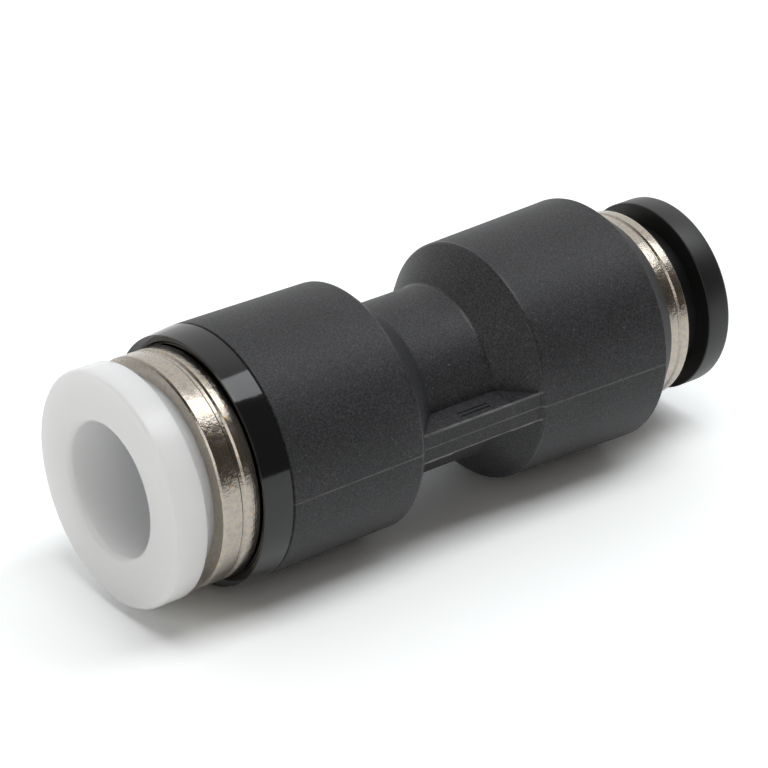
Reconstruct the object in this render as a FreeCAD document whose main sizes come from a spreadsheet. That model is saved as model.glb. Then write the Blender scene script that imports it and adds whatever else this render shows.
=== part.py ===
import FreeCAD, Part

import math
import os

import Sketcher

# Push-in reducer: a moulded union that joins a quarter-inch tube to a 4 mm tube.
# Lengths are in millimetres. The fitting lies on its two barrels, its axis along X,
# the large port towards -X, and the origin on the floor under its middle.
# The two tubes drive every diameter: walls, steps and gaps on the radius add up outwards
# from the tube, so another tube size makes a larger or smaller fitting that still goes together.

SHEET = "Sizes"
PORTS = ("large", "small")

BODY_SIZES = {
    "barrel_wall": 0.37,
    "large_barrel_length": 7.5,
    "small_barrel_length": 7.5,
    "large_barrel_draft": 0.08,
    "small_barrel_draft": 0.22,
    "large_shoulder_length": 1.85,
    "small_shoulder_length": 1.85,
    "neck_wall": 1.15,
    "neck_length": 3.85,
    "nose_edge": 0.08,
    "nose_length": 1.53,
    "rib_inset": 0.4,
    "rib_thickness": 1.5,
    "shoulder_round": 0.15,
    "neck_round": 0.3,
    "passage_diameter": 2.8,
    "joint_chamfer": 0.05,
}

CAP_RING_SIZES = {
    "cap_length": 1.53,
    "cap_taper": 0.14,
    "cap_front_round": 0.06,
    "cap_bore_clearance": 0.03,
}

# What differs from port to port. Depths run inwards from the face of the release sleeve.
PORT_SIZES = {
    "large": {
        "tube_diameter": 6.35,
        "seat_length": 3.2,
        "flange_reach": 1.0,
        "flange_thickness": 1.6,
        "flange_round": 0.12,
        "sleeve_wall": 1.475,
        "release_gap": 0.95,
        "sleeve_nose_wall": 1.025,
        "sleeve_tip_wall": 0.475,
        "sleeve_nose_taper": 1.15,
        "guide_step": 0.14,
        "guide_show": 1.92,
        "guide_lip_length": 1.4,
        "guide_relief": 0.35,
        "guide_skirt_wall": 0.4,
        "guide_land": 1.0,
        "guide_groove_width": 0.36,
        "guide_press_length": 1.85,
        "claw_thickness": 0.3,
        "claw_rim": 0.8,
        "claw_teeth": 10,
        "backing_length": 2.1,
        "backing_wall": 0.55,
        "seal_length": 2.5,
        "seal_section": 1.725,
    },
    "small": {
        "tube_diameter": 4.0,
        "seat_length": 3.0,
        "flange_reach": 1.0,
        "flange_thickness": 1.42,
        "flange_round": 0.22,
        "sleeve_wall": 1.8,
        "release_gap": 1.27,
        "sleeve_nose_wall": 1.3,
        "sleeve_tip_wall": 0.5,
        "sleeve_nose_taper": 1.1,
        "guide_step": 0.42,
        "guide_show": 1.32,
        "guide_lip_length": 1.2,
        "guide_relief": 0.23,
        "guide_skirt_wall": 0.32,
        "guide_land": 0.54,
        "guide_groove_width": 0.24,
        "guide_press_length": 3.6,
        "claw_thickness": 0.25,
        "claw_rim": 0.7,
        "claw_teeth": 8,
        "backing_length": 2.2,
        "backing_wall": 0.5,
        "seal_length": 2.4,
        "seal_section": 1.6,
    },
}

# What both ports share.
SHARED_SIZES = {
    "collar_step": 0.21,
    "collar_thickness": 0.6,
    "sleeve_tube_gap": 0.1,
    "seat_tube_gap": 0.05,
    "guide_gap": 0.05,
    "loose_gap": 0.05,
    "snap_gap": 0.03,
    "barb_height": 0.17,
    "barb_land": 0.3,
    "barb_ramp": 0.5,
    "sleeve_tip_gap": 0.2,
    "mouth_round": 0.22,
    "guide_groove_depth": 0.11,
    "guide_edge": 0.1,
    "press_barb_depth": 0.1,
    "press_barbs": 3,
    "claw_bite": 0.12,
    "claw_tooth_angle": 45,
    "claw_slot_width": 0.4,
    "claw_slot_root": 0.25,
    "backing_web": 0.4,
    "backing_web_gap": 0.18,
    "seal_gap": 0.02,
    "seal_play": 0.05,
    "seal_body_gap": 0.25,
    "seal_heel_wall": 0.45,
    "seal_lip_edge": 0.18,
}

doc = FreeCAD.newDocument("push_in_reducer")
sheet = doc.addObject("Spreadsheet::Sheet", SHEET)


def all_sizes():
    """Every driving size by name, the sizes of each port with the port's word in front."""
    sizes = {**BODY_SIZES, **CAP_RING_SIZES, **SHARED_SIZES}
    for port in PORTS:
        for name, size in PORT_SIZES[port].items():
            sizes[f"{port}_{name}"] = size
    return sizes


def fill_sheet(sizes):
    """Writes one named cell for each size."""
    for row, (name, size) in enumerate(sizes.items(), start=1):
        sheet.set(f"A{row}", name)
        sheet.set(f"B{row}", str(size))
        sheet.setAlias(f"B{row}", name)
    doc.recompute()


fill_sheet(all_sizes())


def total(*terms):
    """The sum of formulas, as one formula."""
    return "(" + " + ".join(terms) + ")"


def value(formula):
    """The number that a formula of the sheet gives now."""
    return float(sheet.evalExpression(formula))


# Stations along the axis, as formulas. Those of a port run inwards from its sleeve's face.


def guide_front(port):
    """Depth of the guide ring's front face."""
    return total(f"Sizes.{port}_flange_thickness", f"Sizes.{port}_release_gap")


def guide_press_start(port):
    """Distance along the guide ring from its front face to the part pressed into the body."""
    if port == "large":
        return total("Sizes.large_guide_show", "Sizes.cap_length", "Sizes.collar_thickness")
    return "Sizes.small_guide_show"


def guide_length(port):
    return total(guide_press_start(port), f"Sizes.{port}_guide_press_length")


def claw_front(port):
    return total(guide_front(port), guide_length(port))


def backing_front(port):
    return total(claw_front(port), f"Sizes.{port}_claw_thickness")


def seal_front(port):
    return total(backing_front(port), f"Sizes.{port}_backing_length")


def pocket_floor(port):
    return total(seal_front(port), f"Sizes.{port}_seal_length", "Sizes.seal_play")


def tube_stop(port):
    return total(pocket_floor(port), f"Sizes.{port}_seat_length")


def body_face(port):
    """Depth of the moulded body's end face."""
    if port == "large":
        return total(guide_front(port), "Sizes.large_guide_show", "Sizes.cap_length")
    return total(guide_front(port), "Sizes.small_guide_show")


LARGE_SHOULDER = "Sizes.large_barrel_length"
NECK_START = total(LARGE_SHOULDER, "Sizes.large_shoulder_length")
NECK_END = total(NECK_START, "Sizes.neck_length")
SMALL_SHOULDER = total(NECK_END, "Sizes.small_shoulder_length")
NOSE_START = total(SMALL_SHOULDER, "Sizes.small_barrel_length")
BODY_LENGTH = total(NOSE_START, "Sizes.nose_length")
OVERALL_LENGTH = total(body_face("large"), BODY_LENGTH, body_face("small"))


# Radii, as formulas that start from a port's tube and go outwards.


def tube_r(port):
    return f"Sizes.{port}_tube_diameter / 2"


def seat_r(port):
    """Radius of the bore that holds the tube's end."""
    return total(tube_r(port), "Sizes.seat_tube_gap")


def tip_r(port):
    """Radius that the relaxed claw and seal lip reach, inside the tube's surface."""
    return f"({tube_r(port)} - Sizes.claw_bite)"


def sleeve_bore_r(port):
    return total(tube_r(port), "Sizes.sleeve_tube_gap")


def sleeve_neck_r(port):
    return total(sleeve_bore_r(port), f"Sizes.{port}_sleeve_wall")


def relief_r(port):
    """Inside radius of the guide ring's skirt, where the sleeve's barb travels."""
    return total(sleeve_neck_r(port), f"Sizes.{port}_guide_relief")


def socket_r(port):
    """Radius of the bore that the guide ring's skirt is pressed into."""
    return total(relief_r(port), f"Sizes.{port}_guide_skirt_wall")


def guide_r(port):
    return total(socket_r(port), f"Sizes.{port}_guide_step")


def pocket_r(port):
    return total(tube_r(port), f"Sizes.{port}_seal_section")


COLLAR_R = total(guide_r("large"), "Sizes.collar_step")
COLLAR_BORE_R = total(COLLAR_R, "Sizes.cap_bore_clearance")
BARREL_R = total(COLLAR_BORE_R, "Sizes.barrel_wall")
LARGE_BARREL_END_R = f"({BARREL_R} - Sizes.large_barrel_draft)"
SMALL_BARREL_END_R = f"({BARREL_R} - Sizes.small_barrel_draft)"
NECK_R = total(seat_r("large"), "Sizes.neck_wall")
NOSE_R = total(guide_r("small"), "Sizes.nose_edge")


def new_body(label):
    """An empty part-design body that is named for the piece."""
    body = doc.addObject("PartDesign::Body", label)
    body.Label = label
    return body


def new_sketch(body, role, name):
    """A sketch on one of the body's own origin planes."""
    plane = next(item for item in body.Origin.OriginFeatures if item.Role == role)
    sketch = body.newObject("Sketcher::SketchObject", name)
    sketch.AttachmentSupport = [(plane, "")]
    sketch.MapMode = "FlatFace"
    return sketch


def fix_corner(sketch, line, along, out):
    """Holds the start of a line at two distances from the sketch's origin."""
    for direction, formula, axis in (("X", along, -2), ("Y", out, -1)):
        if formula == "0":
            sketch.addConstraint(Sketcher.Constraint("PointOnObject", line, 1, axis))
            continue
        held = Sketcher.Constraint(f"Distance{direction}", -1, 1, line, 1, value(formula))
        number = sketch.addConstraint(held)
        sketch.setExpression(f"Constraints[{number}]", formula)


def draw_outline(sketch, corners):
    """A closed outline of straight lines through (along, out) formulas."""
    spots = [FreeCAD.Vector(value(along), value(out), 0) for along, out in corners]
    first = sketch.GeometryCount
    following = spots[1:] + spots[:1]
    sketch.addGeometry([Part.LineSegment(a, b) for a, b in zip(spots, following)], False)
    for number in range(len(corners)):
        after = (number + 1) % len(corners)
        sketch.addConstraint(
            Sketcher.Constraint("Coincident", first + number, 2, first + after, 1)
        )
    for number, (along, out) in enumerate(corners):
        fix_corner(sketch, first + number, along, out)


def turn(body, name, corners, kind="PartDesign::Revolution"):
    """Turns an outline about the fitting's axis, to add a solid or, as a groove, to cut one."""
    sketch = new_sketch(body, "XY_Plane", f"{name}_outline")
    draw_outline(sketch, corners)
    feature = body.newObject(kind, name)
    feature.Profile = sketch
    feature.ReferenceAxis = (sketch, ["H_Axis"])
    feature.Angle = 360
    doc.recompute()
    return feature


def circle_edges(feature, circles):
    """Names of the edges that are circles about the axis at the (along, radius) formulas given."""
    wanted = [(value(along), value(radius)) for along, radius in circles]
    found = []
    for number, edge in enumerate(feature.Shape.Edges, start=1):
        curve = edge.Curve
        if not isinstance(curve, Part.Circle):
            continue
        for along, radius in wanted:
            if math.hypot(curve.Center.x - along, curve.Radius - radius) < 1e-4:
                found.append(f"Edge{number}")
    return found


def round_edges(body, base, name, radius, circles):
    """Rounds circular edges of a turned solid."""
    fillet = body.newObject("PartDesign::Fillet", name)
    fillet.Base = (base, circle_edges(base, circles))
    fillet.Radius = value(radius)
    fillet.setExpression("Radius", radius)
    doc.recompute()
    return fillet


def place(body, along, turned_round=False):
    """Sets a piece on the fitting's axis, its own +X pointing into its port."""
    angle = 180 if turned_round else 0
    spot = FreeCAD.Vector(value(along), 0, value(BARREL_R))
    body.Placement = FreeCAD.Placement(spot, FreeCAD.Rotation(FreeCAD.Vector(0, 0, 1), angle))
    body.setExpression(".Placement.Base.x", along)
    body.setExpression(".Placement.Base.z", BARREL_R)
    return body


def place_in_port(body, port, depth):
    """Sets a piece at a depth in its port."""
    if port == "large":
        return place(body, f"{depth} - {OVERALL_LENGTH} / 2")
    return place(body, f"{OVERALL_LENGTH} / 2 - {depth}", turned_round=True)


# The moulded body: two drafted barrels, conical shoulders, a neck and two flush side ribs.


def body_outside():
    return [
        ("0", "0"),
        ("0", f"{BARREL_R} - Sizes.joint_chamfer"),
        ("Sizes.joint_chamfer", BARREL_R),
        (LARGE_SHOULDER, LARGE_BARREL_END_R),
        (NECK_START, NECK_R),
        (NECK_END, NECK_R),
        (SMALL_SHOULDER, SMALL_BARREL_END_R),
        (NOSE_START, BARREL_R),
        (BODY_LENGTH, NOSE_R),
        (BODY_LENGTH, "0"),
    ]


def into_body(port, depth):
    """A depth in a port, as a distance from the body's large end face."""
    if port == "large":
        return f"({depth} - {body_face(port)})"
    return f"({BODY_LENGTH} - ({depth} - {body_face(port)}))"


def port_bore(port):
    """Corners of a port's stepped bore, from the tube's stop out to the mouth."""
    seat, pocket = seat_r(port), pocket_r(port)
    stop = into_body(port, tube_stop(port))
    floor = into_body(port, pocket_floor(port))
    step = into_body(port, seal_front(port))
    corners = [(stop, "Sizes.passage_diameter / 2"), (stop, seat), (floor, seat)]
    corners += [(floor, pocket), (step, pocket), (step, socket_r(port))]
    return corners


def body_bores():
    large_mouth = [
        ("Sizes.collar_thickness", socket_r("large")),
        ("Sizes.collar_thickness", COLLAR_BORE_R),
        ("0", COLLAR_BORE_R),
    ]
    small_mouth = [(BODY_LENGTH, socket_r("small"))]
    from_large = [("0", "0")] + large_mouth[::-1] + port_bore("large")[::-1]
    to_small = port_bore("small") + small_mouth + [(BODY_LENGTH, "0")]
    return from_large + to_small


def rib_outline(side):
    """Outline of the rib on one side of the axis: it runs between the shoulders, inside their cones."""
    inner = f"{side} * Sizes.passage_diameter"
    outer = f"{side} * ({BARREL_R} - Sizes.rib_inset)"
    start = f"{LARGE_SHOULDER} - Sizes.shoulder_round"
    end = f"{SMALL_SHOULDER} + Sizes.shoulder_round"
    return [(start, inner), (start, outer), (end, outer), (end, inner)]


def fitting_body():
    body = new_body("body")
    outside = turn(body, "outside", body_outside())
    shoulders = [(LARGE_SHOULDER, LARGE_BARREL_END_R), (SMALL_SHOULDER, SMALL_BARREL_END_R)]
    eased = round_edges(body, outside, "eased_shoulders", "Sizes.shoulder_round", shoulders)
    creases = [(NECK_START, NECK_R), (NECK_END, NECK_R)]
    round_edges(body, eased, "eased_neck", "Sizes.neck_round", creases)
    for side, name in ((1, "far_rib"), (-1, "near_rib")):
        sketch = new_sketch(body, "XY_Plane", f"{name}_outline")
        draw_outline(sketch, rib_outline(side))
        rib = body.newObject("PartDesign::Pad", name)
        rib.Profile = sketch
        rib.SideType = "Symmetric"
        rib.Length = value("Sizes.rib_thickness")
        rib.setExpression("Length", "Sizes.rib_thickness")
        doc.recompute()
    turn(body, "port_bores", body_bores(), "PartDesign::Groove")
    return place(body, f"{body_face('large')} - {OVERALL_LENGTH} / 2")


# The glossy cap ring, bonded to the large mouth. It traps the guide ring's collar.


def cap_ring():
    body = new_body("cap_ring")
    bore_r = total(guide_r("large"), "Sizes.cap_bore_clearance")
    front_r = f"({BARREL_R} - Sizes.cap_taper)"
    corners = [
        ("0", bore_r),
        ("0", front_r),
        ("Sizes.cap_length - Sizes.joint_chamfer", BARREL_R),
        ("Sizes.cap_length", f"{BARREL_R} - Sizes.joint_chamfer"),
        ("Sizes.cap_length", bore_r),
    ]
    ring = turn(body, "ring", corners)
    round_edges(body, ring, "eased_front", "Sizes.cap_front_round", [("0", front_r)])
    return place_in_port(body, "large", total(guide_front("large"), "Sizes.large_guide_show"))


# The release sleeve: a flange to press, a neck that slides in the guide ring, a snap barb
# behind the guide ring's lip, and a tapered nose that spreads the claw's teeth.


def release_sleeve(port):
    p = f"Sizes.{port}_"
    body = new_body(f"release_sleeve_{port}")
    bore_r = sleeve_bore_r(port)
    neck_r = sleeve_neck_r(port)
    nose_r = total(bore_r, f"{p}sleeve_nose_wall")
    end_r = total(bore_r, f"{p}sleeve_tip_wall")
    flange_r = total(neck_r, f"{p}flange_reach")
    barb_front = total(guide_front(port), f"{p}guide_lip_length", "Sizes.snap_gap")
    barb_back = total(barb_front, "Sizes.barb_land")
    ramp_end = total(barb_back, "Sizes.barb_ramp")
    tip = f"({claw_front(port)} - Sizes.sleeve_tip_gap)"
    corners = [
        ("0", bore_r),
        ("0", flange_r),
        (f"{p}flange_thickness", flange_r),
        (f"{p}flange_thickness", neck_r),
        (barb_front, neck_r),
        (barb_front, f"({neck_r} + Sizes.barb_height)"),
        (barb_back, f"({neck_r} + Sizes.barb_height)"),
        (ramp_end, nose_r),
        (f"({tip} - {p}sleeve_nose_taper)", nose_r),
        (tip, end_r),
        (tip, bore_r),
    ]
    sleeve = turn(body, "sleeve", corners)
    eased = round_edges(body, sleeve, "eased_mouth", "Sizes.mouth_round", [("0", bore_r)])
    rim = [("0", flange_r), (f"{p}flange_thickness", flange_r)]
    round_edges(body, eased, "eased_flange", f"{p}flange_round", rim)
    return place_in_port(body, port, "0")


# The guide ring: turned brass, with a groove round the part that shows, a lip that the
# sleeve's barb catches on, and a barbed skirt pressed into the body.


def press_barbs(port):
    """Corners of the saw-tooth barbs on the pressed skirt, from its end back to its start."""
    p = f"Sizes.{port}_"
    crest_r = socket_r(port)
    root_r = f"({crest_r} - Sizes.press_barb_depth)"
    start = guide_press_start(port)
    pitch = f"{p}guide_press_length / (2 * Sizes.press_barbs)"
    corners = []
    for number in range(round(value("Sizes.press_barbs"))):
        corners.append((f"({start} + {2 * number} * {pitch})", crest_r))
        corners.append((f"({start} + {2 * number + 1} * {pitch})", crest_r))
        corners.append((f"({start} + {2 * number + 2} * {pitch})", root_r))
    return corners


def guide_ring(port):
    p = f"Sizes.{port}_"
    body = new_body(f"guide_ring_{port}")
    mouth_r = total(sleeve_neck_r(port), "Sizes.guide_gap")
    outer_r = guide_r(port)
    groove_r = f"({outer_r} - Sizes.guide_groove_depth)"
    groove_end = total(f"{p}guide_land", f"{p}guide_groove_width")
    length = guide_length(port)
    corners = [
        (f"{p}guide_lip_length", relief_r(port)),
        (f"{p}guide_lip_length", mouth_r),
        ("0", mouth_r),
        ("0", f"({outer_r} - Sizes.guide_edge)"),
        ("Sizes.guide_edge", outer_r),
        (f"{p}guide_land", outer_r),
        (f"({p}guide_land + Sizes.guide_groove_depth)", groove_r),
        (f"({groove_end} - Sizes.guide_groove_depth)", groove_r),
        (groove_end, outer_r),
    ]
    if port == "large":
        collar_front = total("Sizes.large_guide_show", "Sizes.cap_length")
        corners += [
            (collar_front, outer_r),
            (collar_front, COLLAR_R),
            (guide_press_start(port), COLLAR_R),
        ]
    else:
        corners.append((guide_press_start(port), outer_r))
    corners += press_barbs(port)
    corners.append((length, relief_r(port)))
    turn(body, "ring", corners)
    return place_in_port(body, port, guide_front(port))


# The lock claw: a stamped spring-steel ring. Its inner part is dished into the port and cut
# by keyhole slots into teeth, whose sharp tips grip the tube and let it only move inwards.


def lock_claw(port):
    p = f"Sizes.{port}_"
    body = new_body(f"lock_claw_{port}")
    angle = "(Sizes.claw_tooth_angle * 1 deg)"
    sheet_t = f"{p}claw_thickness"
    rim_r = f"({socket_r(port)} - Sizes.loose_gap)"
    bend_r = f"({socket_r(port)} - {p}claw_rim)"
    edge_r = tip_r(port)
    tip_depth = f"(({bend_r} - {edge_r}) * tan({angle}))"
    corners = [
        ("0", rim_r),
        ("0", bend_r),
        (tip_depth, edge_r),
        (f"({tip_depth} + {sheet_t} * cos({angle}))", f"({edge_r} + {sheet_t} * sin({angle}))"),
        (sheet_t, f"({bend_r} + {sheet_t} * (1 - cos({angle})) / sin({angle}))"),
        (sheet_t, rim_r),
    ]
    dished = turn(body, "dished_ring", corners)

    slot_half = "Sizes.claw_slot_width / 2"
    slot_sketch = new_sketch(body, "YZ_Plane", "slot_outline")
    draw_outline(
        slot_sketch,
        [
            ("0", f"-{slot_half}"),
            (bend_r, f"-{slot_half}"),
            (bend_r, slot_half),
            ("0", slot_half),
        ],
    )
    root_sketch = new_sketch(body, "YZ_Plane", "slot_root_outline")
    centre = FreeCAD.Vector(value(bend_r), 0, 0)
    upright = FreeCAD.Vector(0, 0, 1)
    root_sketch.addGeometry(Part.Circle(centre, upright, value("Sizes.claw_slot_root")), False)
    root_sketch.addConstraint(Sketcher.Constraint("PointOnObject", 0, 3, -1))
    reach = root_sketch.addConstraint(
        Sketcher.Constraint("DistanceX", -1, 1, 0, 3, value(bend_r))
    )
    root_sketch.setExpression(f"Constraints[{reach}]", bend_r)
    radius = root_sketch.addConstraint(
        Sketcher.Constraint("Radius", 0, value("Sizes.claw_slot_root"))
    )
    root_sketch.setExpression(f"Constraints[{radius}]", "Sizes.claw_slot_root")
    doc.recompute()

    cuts = []
    for name, sketch in (("slot", slot_sketch), ("slot_root", root_sketch)):
        cut = body.newObject("PartDesign::Pocket", name)
        cut.Profile = sketch
        cut.Type = "ThroughAll"
        cut.SideType = "Symmetric"
        doc.recompute()
        cuts.append(cut)
    if not body.Shape.Volume < dished.Shape.Volume:
        raise RuntimeError(f"the slots of {body.Label} cut nothing")
    teeth = body.newObject("PartDesign::PolarPattern", "teeth")
    teeth.Originals = cuts
    axis = next(item for item in body.Origin.OriginFeatures if item.Role == "X_Axis")
    teeth.Axis = (axis, [""])
    teeth.Angle = 360
    teeth.Occurrences = round(value(f"{p}claw_teeth"))
    teeth.setExpression("Occurrences", f"{p}claw_teeth")
    body.Tip = teeth
    doc.recompute()
    return place_in_port(body, port, claw_front(port))


# The backing ring: it holds the claw's rim against the guide ring, and its web keeps the
# teeth off the seal.


def claw_backing(port):
    p = f"Sizes.{port}_"
    body = new_body(f"claw_backing_{port}")
    outer_r = f"({socket_r(port)} - Sizes.loose_gap)"
    inner_r = f"({socket_r(port)} - {p}backing_wall)"
    web_r = total(tube_r(port), "Sizes.backing_web_gap")
    web_front = f"({p}backing_length - Sizes.backing_web)"
    corners = [
        ("0", inner_r),
        ("0", outer_r),
        (f"{p}backing_length", outer_r),
        (f"{p}backing_length", web_r),
        (web_front, web_r),
        (web_front, inner_r),
    ]
    turn(body, "ring", corners)
    return place_in_port(body, port, backing_front(port))


# The seal: a rubber cup. Its heel fills the pocket and its lip leans in on the tube,
# towards the pressure.


def seal(port):
    p = f"Sizes.{port}_"
    body = new_body(f"seal_{port}")
    outer_r = f"({pocket_r(port)} - Sizes.seal_gap)"
    inner_r = total(tube_r(port), "Sizes.seal_body_gap")
    lip_r = tip_r(port)
    groove_r = f"(({outer_r} + {inner_r}) / 2)"
    length = f"{p}seal_length"
    lip_end = f"({length} - Sizes.seal_lip_edge)"
    corners = [
        ("0", inner_r),
        ("0", outer_r),
        (length, outer_r),
        (length, f"({outer_r} - Sizes.seal_heel_wall)"),
        (f"{length} / 2", groove_r),
        (lip_end, f"({lip_r} + 2 * Sizes.seal_lip_edge)"),
        (lip_end, lip_r),
        (f"({lip_end} - Sizes.seal_lip_edge)", lip_r),
        (f"{length} / 2", inner_r),
    ]
    turn(body, "cup", corners)
    return place_in_port(body, port, seal_front(port))


def check(pieces):
    """Stops the build where an object failed or a piece is not one whole solid."""
    for item in doc.Objects:
        if "Invalid" in item.State or "Error" in item.State:
            raise RuntimeError(f"{item.Label} failed: {item.State}")
    for piece in pieces:
        shape = piece.Shape
        if shape.isNull() or not shape.isValid() or len(shape.Solids) != 1:
            raise RuntimeError(f"{piece.Label} is not one valid solid")


def build():
    pieces = [fitting_body(), cap_ring()]
    for port in PORTS:
        pieces.append(release_sleeve(port))
        pieces.append(guide_ring(port))
        pieces.append(lock_claw(port))
        pieces.append(claw_backing(port))
        pieces.append(seal(port))
    doc.recompute()
    check(pieces)
    return pieces


os.makedirs("parts", exist_ok=True)
for piece in build():
    piece.Shape.exportStep(os.path.join("parts", f"{piece.Label}.step"))
    print(f"{piece.Label}: {piece.Shape.Volume:.2f} mm3, {len(piece.Shape.Faces)} faces")
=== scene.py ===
# %% [markdown]
# # A push-in reducer fitting, dressed for a product photograph
# The fitting joins a 6.35 mm tube to a 4 mm tube. A charcoal body holds, at each end, a
# nickelled guide ring and a release sleeve that a finger presses to let the tube go.
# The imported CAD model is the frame: it says where every piece is and how it moves. This
# lesson turns finer pieces over it, gives each its real finish, and lights them softly.

import math

import bmesh
import bpy
from mathutils import Matrix, Vector


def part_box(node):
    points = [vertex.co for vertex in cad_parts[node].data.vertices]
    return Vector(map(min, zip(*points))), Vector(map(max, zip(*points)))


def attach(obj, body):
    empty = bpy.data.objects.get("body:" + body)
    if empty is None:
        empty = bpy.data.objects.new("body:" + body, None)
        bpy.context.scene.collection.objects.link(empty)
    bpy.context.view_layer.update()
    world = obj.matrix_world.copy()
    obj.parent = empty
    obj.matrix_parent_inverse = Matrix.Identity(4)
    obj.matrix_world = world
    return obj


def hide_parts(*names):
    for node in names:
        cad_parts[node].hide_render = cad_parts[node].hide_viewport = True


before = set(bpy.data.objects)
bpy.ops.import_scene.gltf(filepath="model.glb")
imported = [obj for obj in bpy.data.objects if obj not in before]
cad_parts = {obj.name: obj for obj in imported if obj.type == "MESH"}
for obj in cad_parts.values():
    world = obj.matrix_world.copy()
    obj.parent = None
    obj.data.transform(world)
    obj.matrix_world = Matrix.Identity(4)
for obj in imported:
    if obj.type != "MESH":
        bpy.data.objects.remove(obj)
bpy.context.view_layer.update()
print("nodes:", sorted(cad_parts))

# %% [markdown]
# ## Lengths and colours
# The drawings of small fittings are in millimetres and Blender works in metres, so one
# factor turns one into the other. Colours are picked as sRGB hex values, as in a paint
# program, and the shader wants linear light, so one function turns them.

# %% Two small helpers
MM = 0.001


def linear(hex_colour):
    """The linear colour of an sRGB hex value such as "#3a3b3e"."""
    parts = [int(hex_colour[at : at + 2], 16) / 255 for at in (1, 3, 5)]
    turned = [c / 12.92 if c <= 0.04045 else ((c + 0.055) / 1.055) ** 2.4 for c in parts]
    return (*turned, 1.0)


# %% [markdown]
# ## Where things are along the axis
# Apart from the claws' slots and the body's two ribs, every shape in this fitting is
# turned, so it is a section and an axis. The axis runs along X at half the barrel's height.
# The CAD boxes give the faces to measure from: each sleeve's outer face, and the moulded
# body's large end.

# %% Read the stations from the frame
body_low, body_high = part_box("body")
AXIS_Z = (body_low.z + body_high.z) / 2
LARGE_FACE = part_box("release_sleeve_large")[0].x
SMALL_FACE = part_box("release_sleeve_small")[1].x
BODY_START = body_low.x
BARREL_R = (body_high.z - body_low.z) / 2 / MM
print(f"axis {AXIS_Z / MM:.2f} mm up, barrels {2 * BARREL_R:.2f} mm across")


# %% [markdown]
# ## Turning a section
# On a lathe a shape comes from its section. In Blender, bmesh's spin does the same. The
# section is drawn as one flat face, its corners are rounded with a vertex bevel, and then
# its outline is spun a full turn about X. Doing the rounding in the flat section keeps it
# exact, and the same all the way round. Afterwards the normals are made to point outwards.

# %% Turn a closed section about the axis
STEPS = 288
ROUND_SEGMENTS = 5
HAIR = 1e-7  # metres, and points closer than this count as one


def round_corner(bm, vert, radius):
    """Rounds one corner of the flat section with an arc of that radius, in mm."""
    ways = [(edge.other_vert(vert).co - vert.co).normalized() for edge in vert.link_edges]
    turn = math.pi - ways[0].angle(ways[1])
    bmesh.ops.bevel(
        bm,
        geom=[vert],
        offset=radius * MM * math.tan(turn / 2),
        offset_type="OFFSET",
        segments=ROUND_SEGMENTS,
        profile=0.5,
        affect="VERTICES",
        material=-1,
        clamp_overlap=True,
    )


def spin_section(section, rounds):
    """A bmesh turned from corners (x in metres, radius in mm), rounds by corner number."""
    bm = bmesh.new()
    corners = [bm.verts.new((x, 0, radius * MM)) for x, radius in section]
    bm.faces.new(corners)
    for number, radius in rounds.items():
        round_corner(bm, corners[number], radius)
    bmesh.ops.delete(bm, geom=bm.faces[:], context="FACES_ONLY")
    bmesh.ops.spin(
        bm,
        geom=bm.verts[:] + bm.edges[:],
        cent=(0, 0, 0),
        axis=(1, 0, 0),
        dvec=(0, 0, 0),
        angle=2 * math.pi,
        steps=STEPS,
        use_merge=True,
        use_duplicate=False,
    )
    bmesh.ops.remove_doubles(bm, verts=bm.verts[:], dist=HAIR)
    bmesh.ops.recalc_face_normals(bm, faces=bm.faces[:])
    return bm


# %% [markdown]
# ## Finishing a piece
# Small rounds next to long flat faces spoil smooth shading, because the default normals
# lean over the whole flat. A Weighted Normal modifier gives the large faces the say.
# Edges over 30 degrees stay sharp. The mesh is lifted to the axis, and the object itself
# stays at the origin, so that a pattern on Object coordinates stays put.

# %% Make the object, in place, on its CAD body
SHARP_FROM = math.radians(30)


def finish_piece(bm, name, body, node, material):
    """Puts a turned bmesh on the fitting's axis as a piece that stands for a CAD node."""
    bmesh.ops.translate(bm, verts=bm.verts[:], vec=(0, 0, AXIS_Z))
    for face in bm.faces:
        face.smooth = True
    mesh = bpy.data.meshes.new(name)
    bm.to_mesh(mesh)
    bm.free()
    mesh.set_sharp_from_angle(angle=SHARP_FROM)
    piece = bpy.data.objects.new(name, mesh)
    bpy.context.collection.objects.link(piece)
    evened = piece.modifiers.new("weighted_normals", "WEIGHTED_NORMAL")
    evened.keep_sharp = True
    mesh.materials.append(material)
    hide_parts(node)
    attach(piece, body)
    print(f"{name}: {len(mesh.vertices)} points, {len(mesh.polygons)} faces")


# %% [markdown]
# ## One way to add a shader node
# A finish is a small tree of nodes. This function adds one node, sets it, and joins it to
# others: an input that is given a socket is linked, and any other value is typed in.


# %% The node helper
def add(tree, kind, inputs=None, stops=(), **settings):
    """Adds a node to the tree, with its settings, colour stops, input values and links."""
    node = tree.nodes.new(kind)
    for name, value in settings.items():
        setattr(node, name, value)
    for number, (position, hex_colour) in enumerate(stops):
        if number == len(node.color_ramp.elements):
            node.color_ramp.elements.new(position)
        node.color_ramp.elements[number].position = position
        node.color_ramp.elements[number].color = linear(hex_colour)
    for key, value in (inputs or {}).items():
        if isinstance(value, bpy.types.NodeSocket):
            tree.links.new(value, node.inputs[key])
        else:
            node.inputs[key].default_value = value
    return node


def new_finish(name):
    """An empty material, its node tree, and its Object coordinates."""
    material = bpy.data.materials.new(name)
    material.use_nodes = True
    tree = material.node_tree
    tree.nodes.clear()
    place = add(tree, "ShaderNodeTexCoord").outputs["Object"]
    print("finish:", name)
    return material, tree, place


def close_finish(tree, shader):
    """Joins the finished shader to the material's output."""
    add(tree, "ShaderNodeOutputMaterial", {"Surface": shader.outputs["BSDF"]})


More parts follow.
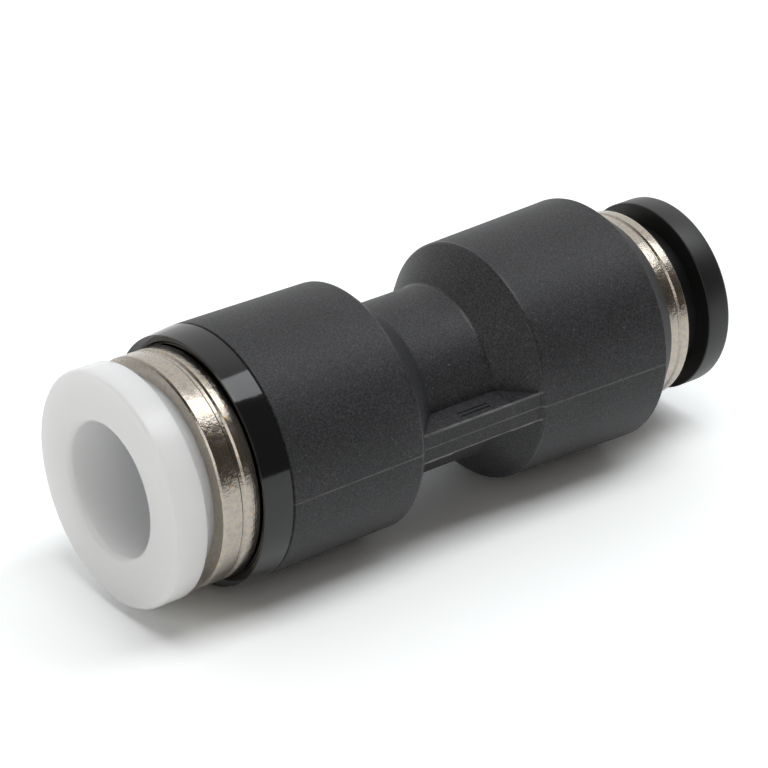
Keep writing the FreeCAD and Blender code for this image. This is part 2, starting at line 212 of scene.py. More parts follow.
# %% [markdown]
# ## Charcoal PBT, moulded in a spark-eroded tool
# The body is glass-filled PBT. Its mould is spark-eroded, which leaves a fine grain of
# tiny pits, so the surface is matte and glitters a little where a pit faces the light.
# Three noises make it: a fine one for the pits and their bump, a sparse one for painted
# glints, which are lighter specks mixed into the colour that stand for pits catching the
# light, and a wide faint one for the cloudy flow of the melt. The grain of about 0.03 mm is
# drawn at 0.085 mm and the painted glints at 0.13 mm, or they would be finer than a pixel.
# Two helpers come first: one turns a real size into a noise's scale, and one marks a
# narrow band of the part.


# %% Helpers for grain and bands
def grains(place, size_mm, detail=2.0, roughness=0.5):
    """What a noise needs to have grains about that many millimetres across."""
    return {
        "Vector": place,
        "Scale": 1 / (size_mm * MM),
        "Detail": detail,
        "Roughness": roughness,
    }


def band(tree, value, centre_mm, half_mm):
    """A mask of 1 where a length is within half_mm of centre_mm, with a short soft edge."""
    soft_from, soft_to = 0.7 * half_mm * MM, 1.3 * half_mm * MM
    away = add(tree, "ShaderNodeMath", {0: value, 1: centre_mm * MM}, operation="SUBTRACT")
    away = add(tree, "ShaderNodeMath", {0: away.outputs[0]}, operation="ABSOLUTE")
    inputs = {
        "Value": away.outputs[0],
        "From Min": soft_from,
        "From Max": soft_to,
        "To Min": 1.0,
        "To Max": 0.0,
    }
    return add(tree, "ShaderNodeMapRange", inputs).outputs["Result"]


# %% [markdown]
# Two masks made of such bands: a hair of flash along the parting line and on the ribs'
# corners looks paler, and that paleness also stands in for a painted highlight where these
# edges catch the light; and the waist's rims are rubbed smoother.

# %% Where the body is painted paler, or smoother
# Distances are in mm: the ribs' from the axis, the waist's and its rims' from the large end.
RIB_REACH_MM = 5.85
RIB_HALF_MM = 0.75
CORNER_INSET_MM = 0.02
WAIST_CENTRE_MM = 11.3
WAIST_HALF_MM = 4.4
RIMS_MM = (7.5, 13.2, 15.05)


def flash_and_painted_highlight(tree, place):
    """Where the resin is painted paler: the parting line, and the corners of the ribs.

    The paleness is partly flash and partly a painted highlight where these edges catch the
    light. A rib's upper corner counts half as much as its lower one, which catches more light
    from the paper, and the line a third.
    """
    apart = add(tree, "ShaderNodeSeparateXYZ", {"Vector": place})
    across = add(tree, "ShaderNodeMath", {0: apart.outputs["Y"]}, operation="ABSOLUTE")
    height = add(
        tree, "ShaderNodeMath", {0: apart.outputs["Z"], 1: AXIS_Z}, operation="SUBTRACT"
    ).outputs[0]
    corner_height = RIB_HALF_MM - CORNER_INSET_MM
    upper = band(tree, height, corner_height, 0.06)
    lower = band(tree, height, -corner_height, 0.06)
    both = add(tree, "ShaderNodeMath", {0: upper, 1: 0.5, 2: lower}, operation="MULTIPLY_ADD")
    corner = band(tree, across.outputs[0], RIB_REACH_MM - CORNER_INSET_MM, 0.07)
    waist = band(tree, apart.outputs["X"], BODY_START / MM + WAIST_CENTRE_MM, WAIST_HALF_MM)
    corner = add(tree, "ShaderNodeMath", {0: corner, 1: waist}, operation="MULTIPLY").outputs[0]
    ribs = add(tree, "ShaderNodeMath", {0: both.outputs[0], 1: corner}, operation="MULTIPLY")
    seam = band(tree, height, 0, 0.04)
    line = add(tree, "ShaderNodeMath", {0: seam, 1: 0.35}, operation="MULTIPLY")
    # Pale marks: partly flash and partly a painted highlight on edges that catch the light.
    pale = add(
        tree, "ShaderNodeMath", {0: ribs.outputs[0], 1: line.outputs[0]}, operation="MAXIMUM"
    )
    patchy = add(tree, "ShaderNodeTexNoise", grains(place, 0.6))
    inputs = {"Value": patchy.outputs["Fac"], "From Min": 0.3, "From Max": 0.6, "To Min": 0.4}
    patchiness = add(tree, "ShaderNodeMapRange", inputs)
    return add(
        tree, "ShaderNodeMath", {0: pale.outputs[0], 1: patchiness.outputs[0]}, operation="MULTIPLY"
    ).outputs[0]


def rubbed_rims(tree, place):
    """Where the resin is smoother: the waist's three rims that stand in the light."""
    along = add(tree, "ShaderNodeSeparateXYZ", {"Vector": place}).outputs["X"]
    start = BODY_START / MM
    left, fillet, right = [band(tree, along, start + at, 0.1) for at in RIMS_MM]
    two = add(tree, "ShaderNodeMath", {0: left, 1: fillet}, operation="MAXIMUM").outputs[0]
    return add(tree, "ShaderNodeMath", {0: two, 1: right}, operation="MAXIMUM").outputs[0]


# %% [markdown]
# The finish itself is one Principled shader. The grain, the melt's flow, the painted glints
# and the pale edges, which are partly flash and partly painted highlight, give its colour,
# the rims its roughness, and the same grain its bump.


# %% The body's finish
def charcoal_resin():
    """The body's material: grain, painted glints, cloudy flow, pale edges that are partly painted
    highlight, and smoother rims.
    """
    material, tree, place = new_finish("pbt_spark_eroded")
    pits = add(tree, "ShaderNodeTexNoise", grains(place, 0.085, 3.0, 0.6)).outputs["Fac"]
    flow = add(tree, "ShaderNodeTexNoise", grains(place, 3.0)).outputs["Fac"]
    grey = add(tree, "ShaderNodeValToRGB", {"Fac": pits}, [(0.4, "#1d1d1f"), (0.8, "#505054")])
    cloud = add(tree, "ShaderNodeValToRGB", {"Fac": flow}, [(0.3, "#e0e3e1"), (0.7, "#ffffff")])
    matte = add(
        tree,
        "ShaderNodeMix",
        {0: 1.0, 6: grey.outputs["Color"], 7: cloud.outputs["Color"]},
        data_type="RGBA",
        blend_type="MULTIPLY",
    )
    # Painted glints: sparse lighter specks in the colour, standing for pits that catch the light.
    sparse = add(tree, "ShaderNodeTexNoise", grains(place, 0.13, 1.0)).outputs["Fac"]
    inputs = {"Value": sparse, "From Min": 0.7, "From Max": 0.8, "To Max": 0.7}
    painted_glint = add(tree, "ShaderNodeMapRange", inputs).outputs["Result"]
    with_painted_glints = add(
        tree,
        "ShaderNodeMix",
        {0: painted_glint, 6: matte.outputs[2], 7: linear("#616265")},
        data_type="RGBA",
    )
    # Pale edges, partly flash and partly a painted highlight where they catch the light.
    colour = add(
        tree,
        "ShaderNodeMix",
        {0: flash_and_painted_highlight(tree, place), 6: with_painted_glints.outputs[2], 7: linear("#8b8b89")},
        data_type="RGBA",
    )
    rims = {"Value": rubbed_rims(tree, place), "To Min": 0.53, "To Max": 0.36}
    smoother = add(tree, "ShaderNodeMapRange", rims)
    bump = add(
        tree, "ShaderNodeBump", {"Height": pits, "Strength": 0.5, "Distance": 0.02 * MM}
    )
    shader = add(
        tree,
        "ShaderNodeBsdfPrincipled",
        {
            "Base Color": colour.outputs[2],
            "Roughness": smoother.outputs["Result"],
            "IOR": 1.43,
            "Normal": bump.outputs["Normal"],
        },
    )
    close_finish(tree, shader)
    return material


BODY_FINISH = charcoal_resin()


# %% [markdown]
# ## Plain resins
# The cap ring and both sleeves come from polished moulds, so they shine. The white sleeve
# is natural acetal, which is milky: light goes about two millimetres in before it comes
# out, so subsurface scattering carries some of it round corners and into the bore. The
# black sleeve is the same acetal with carbon black, and less glossy. A polished mould still
# leaves a skin that ripples over about a third of a millimetre, which bends reflections.


# %% Finishes for the moulded pieces
def moulded_resin(name, colour, roughness, ripple, ior=1.52, milky_mm=0.0):
    """A smooth resin. Ripple is how strongly its skin waves, and milky_mm how deep light goes."""
    material, tree, place = new_finish(name)
    skin = add(tree, "ShaderNodeTexNoise", grains(place, 0.35)).outputs["Fac"]
    bump = add(
        tree,
        "ShaderNodeBump",
        {"Height": skin, "Strength": ripple, "Distance": 0.02 * MM},
    )
    inputs = {
        "Base Color": linear(colour),
        "Roughness": roughness,
        "IOR": ior,
        "Normal": bump.outputs["Normal"],
    }
    if milky_mm:
        inputs["Subsurface Weight"] = 1.0
        inputs["Subsurface Radius"] = (1.0, 0.97, 0.94)
        inputs["Subsurface Scale"] = milky_mm * MM
    shader = add(tree, "ShaderNodeBsdfPrincipled", inputs)
    close_finish(tree, shader)
    return material


CAP_FINISH = moulded_resin("pbt_polished_mould", "#151516", 0.08, 0.08, ior=1.54)
WHITE_FINISH = moulded_resin("acetal_natural_white", "#fafcff", 0.27, 0.1, milky_mm=2.0)
BLACK_FINISH = moulded_resin("acetal_carbon_black", "#121212", 0.42, 0.15)


# %% [markdown]
# ## Nickel-plated brass, turned
# The guide rings are turned from brass rod and plated with nickel, which is a warm grey
# metal. The tool leaves rings about 0.03 mm apart, drawn here at 0.09 mm so that they show,
# so one bump depends on the distance along the axis alone. The plating dimples over about
# a fifth of a millimetre, and a second bump of that size breaks up the highlight. It is
# cloudy too, so the roughness wanders, and golden where the brass shows through it.


# %% The rings' finish
def nickelled_brass():
    """The rings' material: tool lines along the axis, dimpled plating, cloudy shine."""
    material, tree, place = new_finish("nickel_plated_turned_brass")
    apart = add(tree, "ShaderNodeSeparateXYZ", {"Vector": place})
    along = add(tree, "ShaderNodeCombineXYZ", {"X": apart.outputs["X"]})
    lines = add(tree, "ShaderNodeTexNoise", grains(along.outputs[0], 0.09, 3.0)).outputs["Fac"]
    pits = add(tree, "ShaderNodeTexNoise", grains(place, 0.22, 4.0, 0.6)).outputs["Fac"]
    cloudy = add(tree, "ShaderNodeTexNoise", grains(place, 0.6, 4.0, 0.65)).outputs["Fac"]
    inputs = {"Value": cloudy, "From Min": 0.3, "From Max": 0.75, "To Min": 0.14, "To Max": 0.29}
    rough = add(tree, "ShaderNodeMapRange", inputs)
    plating = add(
        tree,
        "ShaderNodeValToRGB",
        {"Fac": pits},
        [(0.3, "#a09a92"), (0.56, "#b1aaa0"), (0.72, "#c0a67a")],
    )
    turned = add(
        tree,
        "ShaderNodeBump",
        {"Height": lines, "Strength": 0.9, "Distance": 0.01 * MM},
    )
    plated = add(
        tree,
        "ShaderNodeBump",
        {
            "Height": pits,
            "Strength": 0.65,
            "Distance": 0.03 * MM,
            "Normal": turned.outputs["Normal"],
        },
    )
    shader = add(
        tree,
        "ShaderNodeBsdfPrincipled",
        {
            "Base Color": plating.outputs["Color"],
            "Metallic": 1.0,
            "Roughness": rough.outputs["Result"],
            "Normal": plated.outputs["Normal"],
        },
    )
    close_finish(tree, shader)
    return material


METAL_FINISH = nickelled_brass()


# %% [markdown]
# ## The moulded body
# One moulding: two barrels, two cones, a neck, and a flat rib on each side that keeps the
# neck stiff. Turning gives everything but the ribs. For those, the band of the waist
# between two planes is cut free with bisect_plane, extruded, and flattened on the rib's
# outer plane. That leaves the true curve where the flat rib runs into the round body.

# %% Turn the body's section
# Corners are (distance from the body's large end, radius) in mm, and rounds go by corner.
BODY_OUTSIDE = [
    (0, 6.14),
    (0.07, 6.25),
    (7.5, 6.17),
    (9.35, 4.375),
    (13.2, 4.375),
    (15.05, 6.03),
    (22.55, 6.25),
    (24.08, 4.95),
]
SMALL_BORE = [
    (24.08, 4.45),
    (18.03, 4.45),
    (18.03, 3.6),
    (15.58, 3.6),
    (15.58, 2.05),
    (12.58, 2.05),
    (12.58, 1.4),
]
LARGE_BORE = [
    (10.6, 1.4),
    (10.6, 3.225),
    (7.4, 3.225),
    (7.4, 4.9),
    (4.85, 4.9),
    (4.85, 5.5),
    (0.6, 5.5),
    (0.6, 5.88),
    (0, 5.88),
]
BODY_ROUNDS = {2: 0.15, 3: 0.3, 4: 0.3, 5: 0.15, 6: 0.08, 7: 0.05}


def from_body_start(section):
    """A section's distances, in mm from the body's large end, as places along the axis."""
    return [(BODY_START + x * MM, radius) for x, radius in section]


body_bm = spin_section(from_body_start(BODY_OUTSIDE + SMALL_BORE + LARGE_BORE), BODY_ROUNDS)
print("body turned:", len(body_bm.faces), "faces")

# %% Raise the two ribs from the waist
RIB_REACH = RIB_REACH_MM * MM
RIB_HALF = RIB_HALF_MM * MM
WAIST = (BODY_START + 7.3 * MM, BODY_START + 15.3 * MM)
WAIST_SKIN_R = 4.3 * MM
SEAM_GAP = 2e-6  # metres, and points that the cuts leave closer than this are joined


def waist_faces(bm, side):
    """The outer faces between the two barrels, on one side of the axis."""
    found = []
    for face in bm.faces:
        spot = face.calc_center_median()
        outside = math.hypot(spot.y, spot.z) > WAIST_SKIN_R
        if outside and WAIST[0] < spot.x < WAIST[1] and spot.y * side > 0:
            found.append(face)
    return found


def cut(bm, faces, point, normal):
    """Cuts faces with a plane, and leaves the rest of the mesh as it is."""
    geom = set(faces)
    for face in faces:
        geom.update(face.edges, face.verts)
    bmesh.ops.bisect_plane(
        bm, geom=list(geom), dist=HAIR / 10, plane_co=point, plane_no=normal
    )


def raise_rib(bm, side):
    """Lifts the waist's band between the rib's two planes out to the rib's reach."""
    for height in (-RIB_HALF, RIB_HALF):
        cut(bm, waist_faces(bm, side), (0, 0, height), (0, 0, 1))
    cut(bm, waist_faces(bm, side), (0, side * RIB_REACH, 0), (0, 1, 0))
    strip = []
    for face in waist_faces(bm, side):
        spot = face.calc_center_median()
        if abs(spot.z) < RIB_HALF and abs(spot.y) < RIB_REACH:
            strip.append(face)
    raised = bmesh.ops.extrude_face_region(bm, geom=strip)["geom"]
    bmesh.ops.delete(bm, geom=strip, context="FACES")
    for item in raised:
        if isinstance(item, bmesh.types.BMVert):
            item.co.y = side * RIB_REACH


for rib_side in (-1, 1):
    raise_rib(body_bm, rib_side)
bmesh.ops.remove_doubles(body_bm, verts=body_bm.verts[:], dist=SEAM_GAP)
bmesh.ops.dissolve_degenerate(body_bm, edges=body_bm.edges[:], dist=HAIR)
bmesh.ops.recalc_face_normals(body_bm, faces=body_bm.faces[:])
print("ribs raised:", len(body_bm.faces), "faces")

# %% [markdown]
# Sharp rib edges would look cut from card. The long edges get a small round, after the
# flat faces have been joined up so that each edge is one line.

# %% Ease the ribs' long edges
RIB_EDGE_ROUND = 0.08 * MM
FLAT_WITHIN = math.radians(0.5)


def flat_rib_faces(bm):
    """The ribs' outer flats and their upper and lower sides."""
    found = []
    for face in bm.faces:
        spot = face.calc_center_median()
        on_side = abs(abs(spot.z) - RIB_HALF) < HAIR and abs(face.normal.z) > 0.99
        on_front = abs(abs(spot.y) - RIB_REACH) < HAIR and abs(face.normal.y) > 0.99
        if WAIST[0] < spot.x < WAIST[1] and (on_side or on_front):
            found.append(face)
    return found


rib_edges = {edge for face in flat_rib_faces(body_bm) for edge in face.edges}
bmesh.ops.dissolve_limit(body_bm, angle_limit=FLAT_WITHIN, verts=[], edges=list(rib_edges))
long_edges = []
for edge in body_bm.edges:
    ends = [vert.co for vert in edge.verts]
    misses = [abs(abs(co.y) - RIB_REACH) for co in ends]
    misses += [abs(abs(co.z) - RIB_HALF) for co in ends]
    on_corner = max(misses) < 10 * HAIR
    if on_corner and abs(ends[0].x - ends[1].x) > 1 * MM:
        long_edges.append(edge)
bmesh.ops.bevel(
    body_bm,
    geom=long_edges,
    offset=RIB_EDGE_ROUND,
    offset_type="OFFSET",
    segments=3,
    profile=0.5,
    affect="EDGES",
    material=-1,
    clamp_overlap=True,
)
print("rib edges eased:", len(long_edges))

# %% [markdown]
# The near rib's top carries two plain grooves. Cuts with bisect_plane give each groove its
# outline, and the face inside it is extruded and sinks, which leaves walls all round.

# %% Sink two grooves in the near rib's top
GROOVE_X = (-0.7 * MM, 1.1 * MM)
GROOVES_Y = ((-5.42 * MM, -5.32 * MM), (-5.12 * MM, -5.02 * MM))
GROOVE_DEPTH = 0.06 * MM
NEAR_RIB_FROM = -4 * MM


def rib_top_faces(bm):
    """Faces on the flat top of the rib that is nearer the camera."""
    found = []
    for face in bm.faces:
        spot = face.calc_center_median()
        on_top = face.normal.z > 0.99 and abs(spot.z - RIB_HALF) < HAIR
        if on_top and spot.y < NEAR_RIB_FROM:
            found.append(face)
    return found


for nearer, further in GROOVES_Y:
    for edge_x in GROOVE_X:
        cut(body_bm, rib_top_faces(body_bm), (edge_x, 0, 0), (1, 0, 0))
    for edge_y in (nearer, further):
        cut(body_bm, rib_top_faces(body_bm), (0, edge_y, 0), (0, 1, 0))
    inside = []
    for face in rib_top_faces(body_bm):
        spot = face.calc_center_median()
        if GROOVE_X[0] < spot.x < GROOVE_X[1] and nearer < spot.y < further:
            inside.append(face)
    sunk = bmesh.ops.extrude_face_region(body_bm, geom=inside)["geom"]
    bmesh.ops.delete(body_bm, geom=inside, context="FACES")
    for item in sunk:
        if isinstance(item, bmesh.types.BMVert):
            item.co.z -= GROOVE_DEPTH
    print("groove sunk:", len(inside), "face")

# %% [markdown]
# ## The parting line
# Where the two halves of the mould meet, the resin creeps in a hair's breadth and leaves a
# low ridge along both sides of the body. It lies at axis height. Three cuts, at that
# height and close on both sides of it, keep the ridge narrow. Only the points on the middle
# one move outwards, and never past the barrel's own radius.

# %% Raise the parting line
LINE_HALF = 0.035 * MM
LINE_RISE = 0.012 * MM
SKIN_FROM = RIB_REACH - 0.01 * MM


def skin_faces(bm):
    """Outer faces near the axis' height: the barrels and the ribs' outer flats."""
    found = []
    for face in bm.faces:
        low = min(vert.co.z for vert in face.verts)
        high = max(vert.co.z for vert in face.verts)
        reach = min(abs(vert.co.y) for vert in face.verts)
        near_height = low < LINE_HALF and high > -LINE_HALF
        if near_height and reach > SKIN_FROM and abs(face.normal.y) > 0.9:
            found.append(face)
    return found


for height in (-LINE_HALF, 0, LINE_HALF):
    cut(body_bm, skin_faces(body_bm), (0, 0, height), (0, 0, 1))
crest = []
for vert in body_bm.verts:
    if abs(vert.co.z) < HAIR / 10 and abs(vert.co.y) > SKIN_FROM:
        crest.append(vert)
for vert in crest:
    reach = min(abs(vert.co.y) + LINE_RISE, BARREL_R * MM)
    vert.co.y = math.copysign(reach, vert.co.y)
print("parting line points:", len(crest))
finish_piece(body_bm, "moulded_body", "fitting", "body", BODY_FINISH)

# %% [markdown]
# ## The cap ring
# A separate glossy ring closes the large mouth and traps the guide ring. A chamfer on the
# ring and one on the body make the fine dark groove between them.

# %% Turn the cap ring
# Corners are (distance from the ring's front, radius) in mm, and rounds go by corner.
CAP_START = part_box("cap_ring")[0].x
CAP_SECTION = [(0.16, 5.67), (0, 6.11), (1.46, 6.25), (1.53, 6.14), (1.53, 5.67)]
CAP_ROUNDS = {0: 0.03, 1: 0.03}
cap_places = [(CAP_START + x * MM, radius) for x, radius in CAP_SECTION]
cap_bm = spin_section(cap_places, CAP_ROUNDS)
finish_piece(cap_bm, "cap_ring_turned", "fitting", "cap_ring", CAP_FINISH)

# %% [markdown]
# ## The guide rings
# Each ring shows two lands with a groove between them, and ends in a skirt with saw-tooth
# barbs that bite the body. The large one has a collar under the cap ring. One function
# makes a section from the few sizes in which the two rings differ.

# %% Draw both guide rings' sections
BARBS = 3
BARB_DEPTH = 0.1
RING_EDGE = 0.1
RING_GROOVE = 0.1


def barbs(start, crest, half_pitch):
    """Corners of the saw-tooth barbs, (depth, radius) in mm."""
    corners = []
    for number in range(BARBS):
        at = start + 2 * number * half_pitch
        low = (at + 2 * half_pitch, crest - BARB_DEPTH)
        corners += [(at, crest), (at + half_pitch, crest), low]
    return corners


def ring_section(front, mouth, relief, outer, lip, land, groove, skirt):
    """Corners of a guide ring from its lip, outwards and round to its inner end."""
    floor_r = outer - RING_GROOVE
    corners = [(lip, relief), (lip, mouth), (0, mouth)]
    corners += [(0, outer - RING_EDGE), (RING_EDGE, outer)]
    corners += [(land, outer), (land + RING_GROOVE, floor_r)]
    corners += [(land + groove - RING_GROOVE, floor_r), (land + groove, outer)]
    corners += skirt
    corners += [(skirt[-1][0], relief)]
    return [(front + depth, radius) for depth, radius in corners]


# All in mm. Front is the ring's depth from the sleeve's face, and other depths run from the
# ring's front. Mouth, relief and outer are radii. The barbs share out the pressed length.
COLLAR = [(1.95, 5.64), (1.99, 5.56), (3.45, 5.56), (3.45, 5.85), (4.05, 5.85)]
LARGE_SKIRT = COLLAR + barbs(4.05, 5.5, 1.85 / (2 * BARBS))
SMALL_SKIRT = [(1.32, 4.87)] + barbs(1.32, 4.45, 3.6 / (2 * BARBS))
LARGE_RING = ring_section(
    front=2.55,
    mouth=4.8,
    relief=5.1,
    outer=5.64,
    lip=1.4,
    land=1.0,
    groove=0.36,
    skirt=LARGE_SKIRT,
)
SMALL_RING = ring_section(
    front=2.69,
    mouth=3.95,
    relief=4.13,
    outer=4.87,
    lip=1.2,
    land=0.54,
    groove=0.24,
    skirt=SMALL_SKIRT,
)
RING_ROUNDS = {2: 0.05, 3: 0.03, 4: 0.04, 5: 0.03, 6: 0.03, 7: 0.03, 8: 0.03}
print("guide ring sections:", len(LARGE_RING), "and", len(SMALL_RING), "corners")


# %% Turn both guide rings
def in_port(port, section):
    """A section's depths, in mm from the sleeve's face, as places along the axis."""
    if port == "large":
        return [(LARGE_FACE + depth * MM, radius) for depth, radius in section]
    return [(SMALL_FACE - depth * MM, radius) for depth, radius in section]


for port, section in (("large", LARGE_RING), ("small", SMALL_RING)):
    ring_bm = spin_section(in_port(port, section), RING_ROUNDS)
    node = f"guide_ring_{port}"
    finish_piece(ring_bm, f"{node}_turned", "fitting", node, METAL_FINISH)

# %% [markdown]
# ## The release sleeves
# A flange to press, a neck that slides in the guide ring, a barb that keeps the sleeve
# from falling out, and a tapered nose that opens the claw. Each rides its own CAD body,
# so it moves when the joint does.

# %% Turn both sleeves
# Corners are (depth from the sleeve's face, radius) in mm, and rounds go by corner.
LARGE_SLEEVE = [
    (0, 3.275),
    (0, 5.75),
    (1.6, 5.75),
    (1.6, 4.75),
    (3.98, 4.75),
    (3.98, 4.92),
    (4.28, 4.92),
    (4.78, 4.3),
    (7.1, 4.3),
    (8.25, 3.75),
    (8.25, 3.275),
]
SMALL_SLEEVE = [
    (0, 2.1),
    (0, 4.9),
    (1.42, 4.9),
    (1.42, 3.9),
    (3.92, 3.9),
    (3.92, 4.07),
    (4.22, 4.07),
    (4.72, 3.4),
    (6.31, 3.4),
    (7.41, 2.6),
    (7.41, 2.1),
]
SLEEVES = {
    "large": (LARGE_SLEEVE, {0: 0.3, 1: 0.24, 2: 0.1}, "sleeve_white", WHITE_FINISH),
    "small": (SMALL_SLEEVE, {0: 0.22, 1: 0.22, 2: 0.09}, "sleeve_black", BLACK_FINISH),
}
for port, (section, rounds, slot, finish) in SLEEVES.items():
    sleeve_bm = spin_section(in_port(port, section), rounds)
    node = f"release_sleeve_{port}"
    finish_piece(sleeve_bm, f"{node}_turned", f"{port}_release", node, finish)


# %% [markdown]
# ## The hidden pieces
# The claws, backing rings and seals keep their CAD shapes, because those are exact. Each
# only needs its own finish: rolled spring steel, which is a plain grey with a dull shine,
# dark grey resin, and black rubber that hardly shines.


# %% Dress the CAD nodes that stay
def spring_steel():
    """The claws' material: bare rolled steel with a faint waviness."""
    material, tree, place = new_finish("stainless_spring_steel_stamped")
    rolled = add(tree, "ShaderNodeTexNoise", grains(place, 0.2, 3.0)).outputs["Fac"]
    bump = add(
        tree,
        "ShaderNodeBump",
        {"Height": rolled, "Strength": 0.15, "Distance": 0.01 * MM},
    )
    shader = add(
        tree,
        "ShaderNodeBsdfPrincipled",
        {
            "Base Color": linear("#b9b8b6"),
            "Metallic": 1.0,
            "Roughness": 0.28,
            "Normal": bump.outputs["Normal"],
        },
    )
    close_finish(tree, shader)
    return material


HIDDEN_FINISHES = {
    "lock_claw": spring_steel(),
    "claw_backing": moulded_resin("pbt_backing_ring", "#3c3d40", 0.4, 0.15),
    "seal": moulded_resin("nitrile_rubber_moulded", "#141414", 0.6, 0.4),
}
for node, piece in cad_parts.items():
    for start, finish in HIDDEN_FINISHES.items():
        if node.startswith(start):
            piece.data.materials.clear()
            piece.data.materials.append(finish)
            print(f"{node}: {finish.name}")


# %% [markdown]
# ## The studio
# A sheet of white paper lies under the part, with three soft boxes over and beside it and
# a pale room round it. The paper has two looks. Whatever looks at it, which is the camera,
# a gloss or a glass, sees it lifted to the white of a page, with its shadow kept. The light
# that it throws back on the fitting comes from its own plain colour, so the fitting isn't
# lit too strongly.


# %% Tell the rays that look from the rest
def looked_at(tree):
    """A value of 1 for a ray that looks: from the camera, or in gloss, or through glass."""
    path = add(tree, "ShaderNodeLightPath").outputs
    inputs = {0: path["Is Camera Ray"], 1: path["Is Glossy Ray"]}
    direct = add(tree, "ShaderNodeMath", inputs, operation="MAXIMUM").outputs[0]
    inputs = {0: direct, 1: path["Is Transmission Ray"]}
    return add(tree, "ShaderNodeMath", inputs, operation="MAXIMUM").outputs[0]


# %% The floor
FLOOR_REACH = 4.0  # metres, far past what the camera sees
PAGE_LIFTED = (1.34, 1.36, 1.36, 1.0)  # linear, above 1 so that lit paper shows as white


def paper():
    """Plain white paper, and the same paper lifted to a page's white for rays that look."""
    material, tree, _ = new_finish("white_paper_sweep")
    sheet = add(
        tree,
        "ShaderNodeBsdfPrincipled",
        {"Base Color": linear("#fafaf8"), "Roughness": 0.5, "IOR": 1.4},
    )
    page = add(
        tree,
        "ShaderNodeBsdfPrincipled",
        {"Base Color": PAGE_LIFTED, "Roughness": 0.45, "IOR": 1.25},
    )
    seen = looked_at(tree)
    mixed = add(
        tree, "ShaderNodeMixShader", {0: seen, 1: sheet.outputs["BSDF"], 2: page.outputs["BSDF"]}
    )
    add(tree, "ShaderNodeOutputMaterial", {"Surface": mixed.outputs["Shader"]})
    return material


floor_bm = bmesh.new()
bmesh.ops.create_grid(floor_bm, x_segments=1, y_segments=1, size=FLOOR_REACH)
floor_mesh = bpy.data.meshes.new("paper_floor")
floor_bm.to_mesh(floor_mesh)
floor_bm.free()
floor = bpy.data.objects.new("paper_floor", floor_mesh)
bpy.context.collection.objects.link(floor)
floor_mesh.materials.append(paper())
print("floor laid:", floor.name)


# %% [markdown]
# A box right overhead gives the level and keeps the shadow close under the fitting. One
# towards the small port is what the polished pieces mirror: the cap ring shows it as a
# bright patch, and the nickel as white streaks. Its edges lie along the axis, so that the
# patch ends in a straight line. A weaker one on the left reaches the white sleeve's bore.


# %% The soft boxes
def soft_box(name, direction, distance, size, radiance, colour):
    """A lamp in a direction from the fitting, facing it, with two edges along the axis."""
    way = Vector(direction).normalized()
    edge = (Vector((1, 0, 0)) - way * way.x).normalized()
    lamp = bpy.data.lights.new(name, "AREA")
    lamp.shape = "RECTANGLE"
    lamp.size, lamp.size_y = size
    lamp.energy = 4 * lamp.size * lamp.size_y * radiance
    lamp.color = colour
    holder = bpy.data.objects.new(name, lamp)
    turn = Matrix((edge, way.cross(edge), way)).transposed().to_4x4()
    holder.matrix_world = Matrix.Translation(way * distance + Vector((0, 0, AXIS_Z))) @ turn
    bpy.context.collection.objects.link(holder)
    print(f"{name}: {lamp.energy:.1f} W")


soft_box("overhead_box", (-0.06, -0.15, 1.0), 1.6, (0.8, 0.8), 2.85, (0.99, 1.0, 1.0))
soft_box("patch_box", (0.44, -0.19, 0.87), 1.5, (1.0, 0.6), 2.5, (0.96, 0.98, 1.0))
soft_box("left_box", (-0.9, -0.4, 0.38), 1.6, (1.0, 1.0), 1.2, (1.0, 0.99, 0.98))


# %% [markdown]
# The room is pale where the photographer looks and dim behind the camera, as a real one
# is. That dim side draws the dark bands in the nickel and on the cap ring. The camera sees
# the white of a page all round, and so does gloss, but gloss also sees the dim side.


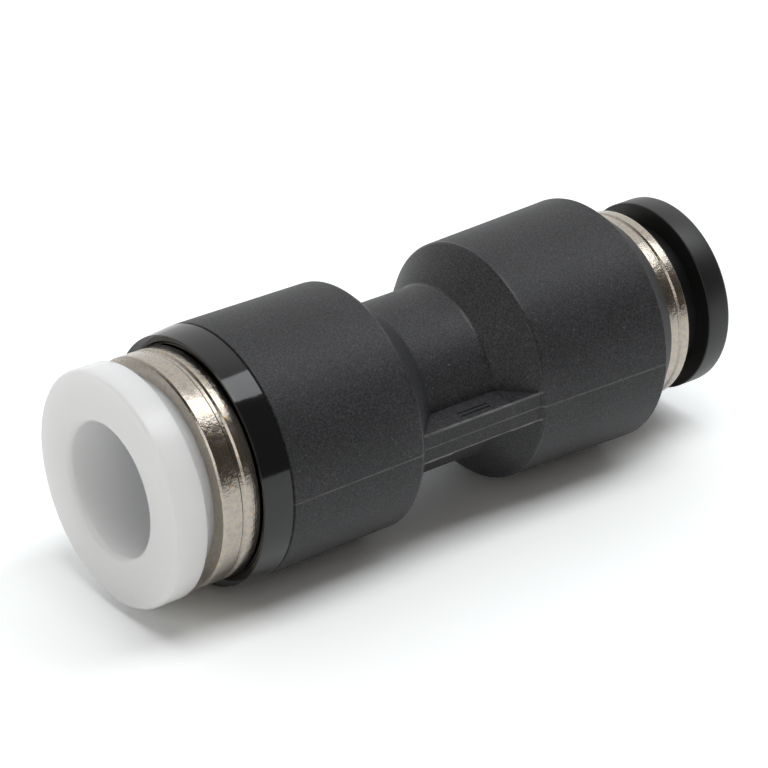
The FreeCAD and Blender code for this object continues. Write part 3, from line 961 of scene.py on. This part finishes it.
# %% The room
def room():
    """A world that lights softly from one side, and shows a white page to rays that look."""
    world = bpy.data.worlds.new("pale_room")
    bpy.context.scene.world = world
    world.use_nodes = True
    tree = world.node_tree
    tree.nodes.clear()
    way = add(tree, "ShaderNodeTexCoord").outputs["Generated"]
    towards = Vector((0.5, 0.75, 0.45)).normalized()
    side = add(tree, "ShaderNodeVectorMath", {0: way, 1: towards}, operation="DOT_PRODUCT")
    inputs = {"Value": side.outputs["Value"], "From Min": 0.1, "From Max": 0.9}
    backdrop = add(tree, "ShaderNodeMapRange", inputs, interpolation_type="SMOOTHSTEP")
    backdrop = backdrop.outputs["Result"]
    dim = add(tree, "ShaderNodeBackground", {"Color": linear("#403930")}).outputs[0]
    pale = add(tree, "ShaderNodeBackground", {"Color": linear("#e4e6e8")}).outputs[0]
    soft = add(tree, "ShaderNodeMixShader", {0: backdrop, 1: dim, 2: pale}).outputs[0]
    page = add(tree, "ShaderNodeBackground", {"Color": (1.0, 1.0, 1.0, 1.0)}).outputs[0]
    dark = add(tree, "ShaderNodeBackground", {"Color": linear("#544f4b")}).outputs[0]
    glossy = add(tree, "ShaderNodeLightPath").outputs["Is Glossy Ray"]
    inputs = {0: glossy, 1: backdrop}
    behind = add(tree, "ShaderNodeMath", inputs, operation="SUBTRACT", use_clamp=True).outputs[0]
    look = add(tree, "ShaderNodeMixShader", {0: behind, 1: page, 2: dark}).outputs[0]
    mixed = add(tree, "ShaderNodeMixShader", {0: looked_at(tree), 1: soft, 2: look})
    add(tree, "ShaderNodeOutputWorld", {"Surface": mixed.outputs["Shader"]})
    print("room:", world.name)


room()
bpy.context.scene.view_settings.view_transform = "Standard"

# %% [markdown]
# ## The camera
# A long lens from the large end, above and to one side. Its place was worked out from the
# photograph's ellipses, so the fitting falls on the same spot of the frame.

# %% Set the camera
CAMERA_PLACE = (-85.354 * MM, -109.151 * MM, 79.926 * MM)
CAMERA_RIGHT = (0.7917, -0.6110, 0.0)
CAMERA_UP = (0.2868, 0.3717, 0.8829)
CAMERA_BACK = (-0.5394, -0.6990, 0.4695)
lens = bpy.data.cameras.new("long_lens")
lens.lens = 152.0
lens.sensor_width = 36.0
lens.clip_start = 0.01
camera = bpy.data.objects.new("camera", lens)
camera.matrix_world = Matrix.Translation(CAMERA_PLACE) @ Matrix(
    (CAMERA_RIGHT, CAMERA_UP, CAMERA_BACK)
).transposed().to_4x4()
bpy.context.collection.objects.link(camera)
bpy.context.scene.camera = camera
print(f"camera: {camera.location.length / MM:.0f} mm from the origin")
